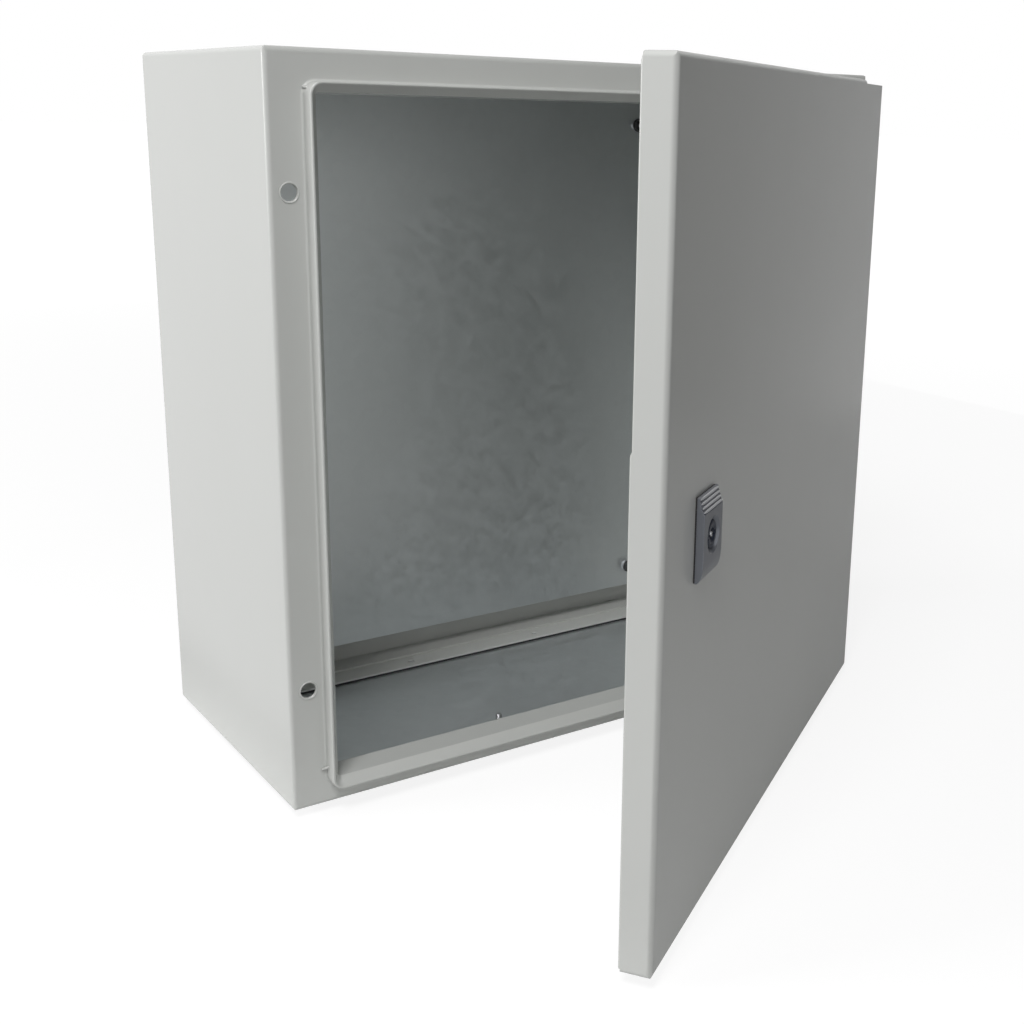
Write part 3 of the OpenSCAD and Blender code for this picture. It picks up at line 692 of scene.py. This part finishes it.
low, high = closed_box("door_gasket")
bead_half = 5 * MM
bead_corner_r = 7.5 * MM
bead_h = high[1] - low[1]
path, outward = round_rectangle(
    (low[0] + bead_half, low[2] + bead_half), (high[0] - bead_half, high[2] - bead_half), bead_corner_r
)
print("gasket path of", len(path), "points")

# %% Gasket bead
shoulder_power = 0.6
dome_power = 0.45
# section: x = -half sign(cos a) |cos a|^0.6 and y = height sin(a)^0.45, between two foot points
arc = np.linspace(0, math.pi, 15)[1:-1]
across = -bead_half * np.sign(np.cos(arc)) * np.abs(np.cos(arc)) ** shoulder_power
across = np.concatenate([[-bead_half], across, [bead_half]])
height = np.concatenate([[0.0], bead_h * np.sin(arc) ** dome_power, [0.0]])
bead = np.empty((len(path), len(across), 3))
bead[..., 0] = path[:, None, 0] + outward[:, None, 0] * across
bead[..., 1] = low[1] + height
bead[..., 2] = path[:, None, 1] + outward[:, None, 1] * across
surface(
    "door_gasket_bead", [turned(bead, opened)], "door", foam,
    wrap=(True, True), replaces=["door_gasket"],
)

# %% [markdown]
# ## Beads
# A weld bead, and the rib of a casting too, is a flattened capsule half sunk in the metal. A
# stretched sphere would do for a plain one. Rings along a line, whose size falls to nothing at both
# ends, can also ripple as a weld does.

# %% Bead shape
ripple_depth = 0.08


def bead_grid(start, end, width, rise, normal, ripples=6, steps=16):
    """A capsule from start to end: elliptical rings whose size is (1 - u^6)^(1/2) times
    1 + 0.08 cos(pi ripples u), closed to a point at both ends."""
    start, end, normal = (np.asarray(v, float) for v in (start, end, normal))
    way = (end - start) / np.linalg.norm(end - start)
    side = np.cross(way, normal)
    u = np.sin(np.linspace(-math.pi / 2, math.pi / 2, 6 * max(ripples, 3) + 1))
    wave = ripple_depth * np.cos(math.pi * ripples * u) if ripples else 0.0
    size = np.sqrt(np.clip(1 - u**6, 0, 1)) * (1 + wave)
    size[0] = size[-1] = 0.0
    t = full_turn(steps)
    middle = start + (end - start) * ((u + 1) / 2)[:, None]
    ring = width / 2 * np.cos(t)[:, None] * side + rise * np.sin(t)[:, None] * normal
    return middle[:, None, :] + size[:, None, None] * ring[None]


print("a weld's ripples are", ripple_depth, "of its size")

# %% [markdown]
# ## The rain lip's corner welds
# The lip is folded from the sheet of the flange, so its corners are open until they are welded and
# dressed. The welds belong to the folded sheet, but the sheet's mesh stays as it is imported, so they
# are small beads laid over it and painted like it. Their places follow the lip's crest, which is
# found as the foremost points of the wrapper.

# %% The lip's outline
lip_h = 12 * MM
crest_bend_r = 1 * MM
crest_band = 0.01 * MM
corner_r = 8.5 * MM
wrapper = node_points("body_wrapper")
crest_y = wrapper[:, 1].min()
flange_y = crest_y + lip_h
# the crest is a round bend, so the lip's outer wall stands one bend radius outside its top line
crest_line = wrapper[wrapper[:, 1] < crest_y + crest_band][:, [0, 2]]
lip_low = crest_line.min(axis=0) - crest_bend_r
lip_high = crest_line.max(axis=0) + crest_bend_r
print("lip from", np.round(lip_low, 4), "to", np.round(lip_high, 4))

# %% Lip corner welds
top_slant = math.radians(32)
top_width, top_rise, top_reach = 2.0 * MM, 0.7 * MM, 5 * MM
top_foot_out = 1.6 * MM
bottom_width, bottom_rise, bottom_reach = 2.4 * MM, 1.0 * MM, 4 * MM
bottom_foot_out = 3.5 * MM
bottom_foot_up, bottom_crest_up = 12.5 * MM, 15 * MM
weld_sink = 0.3 * MM


def top_weld(side, x):
    """A short bead from the flange up the wall, where the bend of a top corner begins."""
    centre = np.array([x - side * corner_r, flange_y, lip_high[1] - corner_r])
    out = np.array([side * math.cos(top_slant), 0, math.sin(top_slant)])
    foot = centre + out * (corner_r + top_foot_out)
    crest = centre + out * (corner_r - weld_sink) + np.array([0, -top_reach, 0])
    return bead_grid(foot, crest, top_width, top_rise, out, ripples=3)


def bottom_weld(side, x):
    """A rounded shoulder at the end of a side wall, above a bottom corner."""
    foot = np.array([x + side * bottom_foot_out, flange_y, lip_low[1] + bottom_foot_up])
    crest = np.array([x - side * weld_sink, flange_y - bottom_reach, lip_low[1] + bottom_crest_up])
    return bead_grid(foot, crest, bottom_width, bottom_rise, (0, 0, 1), ripples=3)


walls = ((-1, lip_low[0]), (1, lip_high[0]))
welds = [weld(side, x) for side, x in walls for weld in (top_weld, bottom_weld)]
surface("lip_corner_welds", welds, "enclosure", paint)

# %% [markdown]
# ## Stitch welds of the back
# The back tray is stitched to the walls with short beads, four on each side, ground almost flush
# before painting. They are the same beads as on the lip, only longer and lower.

# %% Back stitches
stitch_half = 12 * MM
stitch_width = 2 * MM
stitch_rise = 0.2 * MM
stitch_y = -0.2 * MM
low, high = rest_box("back_panel")


def stitch(x, z, along_x, along_z):
    """A bead centred on x, z in the back's plane, along x or along z."""
    start = (x - stitch_half * along_x, stitch_y, z - stitch_half * along_z)
    end = (x + stitch_half * along_x, stitch_y, z + stitch_half * along_z)
    return bead_grid(start, end, stitch_width, stitch_rise, (0, 1, 0))


stitches = []
for share in (-0.4, -0.13, 0.13, 0.4):
    for side in (-1, 1):
        stitches.append(stitch(high[0] * side, share * (high[2] - low[2]), 0, 1))
        stitches.append(stitch(share * (high[0] - low[0]), high[2] * side, 1, 0))
surface("back_weld_stitches", stitches, "enclosure", paint)

# %% [markdown]
# ## The key insert's cap
# The turning insert ends in a dark cap that stands almost as high as the housing's face. A key goes
# into its round well with two wings. The well could be cut with a boolean; here the radius of the
# turned rows simply follows the well's outline, which leaves no broken faces.

# %% Insert cap
axis_out = np.array([0.0, -1.0, 0.0])
housing_low, housing_high = closed_box("lock_housing")
face_h = lock_centre[1] - housing_low[1]
dish_depth = 3 * MM
cap_below_face = 0.9 * MM
cap_r = 8.3 * MM
cap_foot_r = 6.5 * MM
cap_foot_depth = 6 * MM
# the cap's rounded edge: its reach, and how far in and down its middle lies
edge_reach, edge_in, edge_down = 0.7 * MM, 0.2 * MM, 0.3 * MM
well_r = 3.5 * MM
wing_reach = 5.5 * MM
wing_half = 1.3 * MM
well_depth = 5 * MM
lip_chamfer = 0.3 * MM
cap_steps = 96
dish_floor = face_h - dish_depth
cap_top = face_h - cap_below_face
# radius of a band of half width w at turn t: w / |sin t|, held at the wings' reach
band = wing_half / np.maximum(np.abs(np.sin(full_turn(cap_steps))), 1e-6)
well = np.maximum(well_r, np.minimum(wing_reach, band))
cap_rows = [
    (0.0, dish_floor - cap_foot_depth),
    (cap_foot_r, dish_floor - cap_foot_depth),
    (cap_foot_r, dish_floor),
    (cap_r, dish_floor + 0.1 * MM),
    (cap_r, cap_top - edge_reach),
    (cap_r - edge_in, cap_top - edge_down),
    (cap_r - edge_reach, cap_top),
    (well + lip_chamfer, cap_top),
    (well, cap_top - lip_chamfer),
    (well, cap_top - well_depth),
    (0.0, cap_top - well_depth),
]
cap = rows_solid(cap_rows, lock_centre, axis_out, cap_steps)
surface("key_insert_cap", [turned(cap, opened)], "lock_cylinder", insert_finish)

# %% [markdown]
# ## The key post
# The key turns on a bright steel post in the middle of the well. It is one more turned profile, with
# a quarter circle at its tip.

# %% Key post
post_r = 1.6 * MM
post_top = cap_top - 0.2 * MM
post_foot = cap_top - 6 * MM
tip_r = 0.5 * MM
quarter = np.linspace(0, math.pi / 2, 6)
post_height = np.concatenate([[post_foot] * 2, post_top + tip_r * (np.sin(quarter) - 1), [post_top]])
post_radius = np.concatenate([[0.0, post_r], post_r - tip_r * (1 - np.cos(quarter)), [0.0]])
post = turned_solid(post_radius, post_height, lock_centre, axis_out, steps=32)
surface("key_post", [turned(post, opened)], "lock_cylinder", zinc)

# %% [markdown]
# ## Grip ribs
# Ribs across the sloping top of the housing give the thumb a hold, and their much lighter finish is a painted
# highlight.
# They could be a bump, but they catch the light along their length, so they are four smooth beads.

# %% Grip ribs
rib_count = 4
rib_zone = 9.5 * MM
rib_end = 2.2 * MM
rib_inset = 0.4 * MM
rib_width = 1.5 * MM
rib_rise = 0.75 * MM
rib_normal = (0, -1, 0.3)
ribs = []
for share in (np.arange(rib_count) + 0.5) / rib_count:
    z = housing_high[2] - rib_zone * (1 - share)
    y = lock_centre[1] - (face_h - share * (face_h - rib_end))
    start = (housing_low[0] + rib_inset, y, z)
    end = (housing_high[0] - rib_inset, y, z)
    ribs.append(turned(bead_grid(start, end, rib_width, rib_rise, rib_normal, ripples=0), opened))
surface("lock_grip_ribs", ribs, "door", rib_highlight_finish)

# %% [markdown]
# ## Rims of the spare hinge holes
# Two more holes let the door be hung on the left. Paint runs back from a sharp edge and leaves a
# thin raised ring round each hole. A torus could stand there; a flat ellipse carried round a circle
# lies closer to the sheet.

# %% Hole rims
rim_r = 6.1 * MM
rim_half = 0.6 * MM
rim_rise = 0.5 * MM
hole_inset = 13.5 * MM


def rim_grid(centre, axis):
    """Closed ring: at section angle a, radius rim_r + rim_half cos a and height rim_rise sin a."""
    angle = full_turn(12)
    return turned_solid(rim_r + rim_half * np.cos(angle), rim_rise * np.sin(angle), centre, axis)


hole_x = rest_box("body_wrapper")[0][0] + hole_inset
bracket_low, bracket_high = rest_box("upper_hinge_bracket")
hole_z = (bracket_low[2] + bracket_high[2]) / 2
rims = [rim_grid((hole_x, flange_y, z), (0, -1, 0)) for z in (-hole_z, hole_z)]
surface("hinge_hole_rims", rims, "enclosure", paint, wrap=(True, True))

# %% [markdown]
# ## Stage
# The part stands on a plain pale floor in a white surround. A bright floor and sky would light the
# part from all sides and flatten it. Light Path tells what kind of ray asks: camera, mirror-like and
# see-through rays find white, and the light on the part comes from the lamps and a weak even sky.

# %% Stage helpers
def matt_material(name):
    """A material without gloss."""
    material = new_material(name)
    _, shader = inside(material)
    set_inputs(shader, {"Roughness": 1.0, "Specular IOR Level": 0.0})
    return material


def plane(name, corners, material):
    """A flat four-sided stage piece."""
    mesh = bpy.data.meshes.new(name)
    mesh.from_pydata([tuple(c) for c in corners], [], [(0, 1, 2, 3)])
    mesh.materials.append(material)
    obj = bpy.data.objects.new(name, mesh)
    bpy.context.scene.collection.objects.link(obj)
    return obj


def seen_ray(tree):
    """1 for camera, mirror-like and see-through rays, 0 for the rest."""
    path = add(tree, "ShaderNodeLightPath")
    first = math_node(tree, "MAXIMUM", path.outputs["Is Camera Ray"], path.outputs["Is Glossy Ray"])
    return math_node(tree, "MAXIMUM", first, path.outputs["Is Transmission Ray"])


lowest = first_bounds[0][2]
print("the stage's lowest level is", round(lowest, 4))

# %% [markdown]
# ## Floor
# The floor's own colour is dark, so it sends little light up. What the camera sees of it is mostly
# its glow, which leaves room for the part's shadow. The glow rises to white with the distance, so
# the floor meets the surround without a line.

# %% Floor
floor_half = 30.0
floor_grey = 0.22
# the glow is 0.88 up to 0.6 m from the middle, and 1 from 3 m on
glow_from, glow_to = 0.6, 3.0
near_glow, far_glow = 0.88, 1.0
floor_material = matt_material("stage_floor")
tree, shader = inside(floor_material)
set_inputs(shader, {"Base Color": (floor_grey, floor_grey, floor_grey, 1), "Emission Color": (1, 1, 1, 1)})
far = add(tree, "ShaderNodeVectorMath", operation="LENGTH")
tree.links.new(object_place(tree), far.inputs[0])
glow = add(tree, "ShaderNodeMapRange")
set_inputs(glow, {"From Min": glow_from, "From Max": glow_to, "To Min": near_glow, "To Max": far_glow})
tree.links.new(far.outputs["Value"], glow.inputs["Value"])
seen_glow = math_node(tree, "MULTIPLY", seen_ray(tree), glow.outputs[0])
tree.links.new(seen_glow, shader.inputs["Emission Strength"])
floor_corners = [(x * floor_half, y * floor_half, lowest) for x, y in ((-1, -1), (1, -1), (1, 1), (-1, 1))]
plane("stage_floor", floor_corners, floor_material)
print("floor at", round(lowest, 4))

# %% [markdown]
# ## Surround
# The world is white to rays that see it, and a weak even sky to the rest.

# %% Surround
sky_strength = 0.19
world = bpy.data.worlds.new("surround")
bpy.context.scene.world = world
world.use_nodes = True
tree = world.node_tree
background = tree.nodes["Background"]
background.inputs["Color"].default_value = (1, 1, 1, 1)
tree.links.new(mix_number(tree, seen_ray(tree), sky_strength, 1.0), background.inputs["Strength"])
print("sky strength", sky_strength)

# %% [markdown]
# ## Lamps
# Three soft boxes light the part. One stands far out on the left, a little behind, and lights the
# left wall. One high in front reaches the inside and the flange, and a weak wide one fills the rest.
# Small hard lamps would draw sharp spots on the semi-gloss paint.

# %% Lamps
def set_pose(obj, place, axes):
    """Puts an object at place, with its x, y and z along three given directions."""
    pose = Matrix.Identity(4)
    for column, vector in enumerate(axes):
        for row in range(3):
            pose[row][column] = vector[row]
    pose.translation = place
    obj.matrix_world = pose


def lamp(name, place, target, size, power):
    """A square soft lamp at place that faces target."""
    data = bpy.data.lights.new(name, "AREA")
    data.shape = "RECTANGLE"
    data.size = size
    data.size_y = size
    data.energy = power
    obj = bpy.data.objects.new(name, data)
    bpy.context.scene.collection.objects.link(obj)
    direction = np.array(place, float) - np.array(target, float)
    set_pose(obj, place, along(direction / np.linalg.norm(direction)))
    return obj


lamps = [
    lamp("side", place=(-2.6, 0.7, 0.6), target=(-0.25, -0.1, 0), size=1.2, power=39),
    lamp("front", place=(-1.1, -1.2, 1.7), target=(-0.1, -0.4, 0), size=0.7, power=24),
    lamp("fill", place=(-1.3, -2.3, 0.6), target=(0, -0.3, 0.05), size=1.6, power=3),
]
print("lamps:", ", ".join(obj.name for obj in lamps))

# %% [markdown]
# ## Cards
# The glossy door mirrors the room, and in a white surround it would mirror white. Studios place
# cards where the object would see the room. One graded card stands at the right and one lies on
# the floor; the camera doesn't see them and they cast no shadow.

# %% Cards
def card_paint(name, from_y, to_y, dark, light):
    """Matt card whose tone goes from dark to light between two places along y."""
    material = matt_material(name)
    tree, shader = inside(material)
    split = add(tree, "ShaderNodeSeparateXYZ")
    tree.links.new(object_place(tree), split.inputs[0])
    share = add(tree, "ShaderNodeMapRange")
    set_inputs(share, {"From Min": from_y, "From Max": to_y})
    tree.links.new(split.outputs["Y"], share.inputs["Value"])
    tone = mix_colour(tree, share.outputs[0], (dark, dark, dark), (light, light, light))
    tree.links.new(tone, shader.inputs["Base Color"])
    return material


card_x = 1.3
card_left = -0.3
card_front, card_back = -1.6, 2.4
card_top = 2.2
card_level = lowest + 2 * MM
standing = plane(
    "stage_card",
    [(card_x, card_front, lowest), (card_x, card_back, lowest),
     (card_x, card_back, card_top), (card_x, card_front, card_top)],
    card_paint("stage_card", from_y=-0.25, to_y=0.25, dark=0.04, light=0.98),
)
lying = plane(
    "stage_card_low",
    [(card_left, card_front, card_level), (card_x, card_front, card_level),
     (card_x, card_back, card_level), (card_left, card_back, card_level)],
    card_paint("stage_card_low", from_y=-0.4, to_y=0.2, dark=0.75, light=0.9),
)
for card in (standing, lying):
    card.visible_camera = False
    card.visible_shadow = False
print("cards:", standing.name, lying.name)

# %% [markdown]
# ## Camera
# The eye is left of the part and a little above its middle, about 1.2 m away, and looks right and
# down. The lens is shifted, so that its axis is off the middle of the frame. Turning the camera
# instead would make the upright edges lean another way.

# %% Camera
def aim(yaw, pitch, roll):
    """Camera axes: right, up and back, from yaw to the right of +Y, pitch above level and roll."""
    y, p, r = (math.radians(v) for v in (yaw, pitch, roll))
    forward = np.array([math.sin(y) * math.cos(p), math.cos(y) * math.cos(p), math.sin(p)])
    right = np.array([math.cos(y), -math.sin(y), 0.0])
    up = np.cross(right, forward)
    return math.cos(r) * right + math.sin(r) * up, -math.sin(r) * right + math.cos(r) * up, -forward


camera_data = bpy.data.cameras.new("camera")
camera_data.sensor_width = 36.0
camera_data.lens = 48.722
camera_data.shift_x = -0.125
camera_data.shift_y = -0.0361
camera_data.clip_end = 200.0
camera = bpy.data.objects.new("camera", camera_data)
bpy.context.scene.collection.objects.link(camera)
set_pose(camera, (-0.5721, -1.0526, 0.2158), aim(yaw=36.402, pitch=-14.598, roll=1.446))
bpy.context.scene.camera = camera
bpy.context.scene.view_settings.view_transform = "Standard"
print("camera lens", camera_data.lens, "mm")
